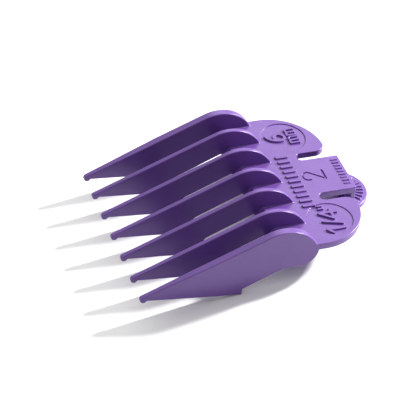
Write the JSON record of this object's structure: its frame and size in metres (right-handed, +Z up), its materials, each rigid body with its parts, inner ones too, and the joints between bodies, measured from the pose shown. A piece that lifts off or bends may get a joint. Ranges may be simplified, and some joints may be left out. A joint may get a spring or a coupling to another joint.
{
  "type": "clipper guard comb",
  "caption": "Purple plastic clipper guard comb with long tapering teeth, round rear wings and a springy latch with a thumb tab.",
  "frame": {"origin": "on the surface that the comb rests on, under the middle of its bounding box", "axes": "+Z up with the comb at rest, -X towards the tips of the teeth, +X towards the thumb tab, Y across the teeth"},
  "size_m": [0.0642, 0.0472, 0.0156],
  "materials": {
    "purple_plastic": "satin moulded plastic, fine grain on the flat faces and brighter, smoother rounded edges"
  },
  "bodies": {
    "comb": {"tooth_1": "purple_plastic", "tooth_2": "purple_plastic", "tooth_3": "purple_plastic", "tooth_4": "purple_plastic", "tooth_5": "purple_plastic", "tooth_6": "purple_plastic", "tooth_7": "purple_plastic", "right_skirt": "purple_plastic", "left_skirt": "purple_plastic", "deck_plate": "purple_plastic", "deck_web_1": "purple_plastic", "deck_web_2": "purple_plastic", "deck_web_3": "purple_plastic", "deck_web_4": "purple_plastic", "deck_web_5": "purple_plastic", "deck_web_6": "purple_plastic", "right_wing": "purple_plastic", "left_wing": "purple_plastic"},
    "latch": {"latch_tongue": "purple_plastic", "latch_wall": "purple_plastic", "latch_hook": "purple_plastic", "thumb_tab": "purple_plastic"}
  },
  "joints": [
    {"name": "latch_flex", "type": "hinge", "parent": "comb", "child": "latch", "pos_m": [0.01862, 0, 0.00775], "axis": [0, -1, 0], "range_deg": [0, 10], "stiffness_Nm_per_rad": 0.5}
  ]
}
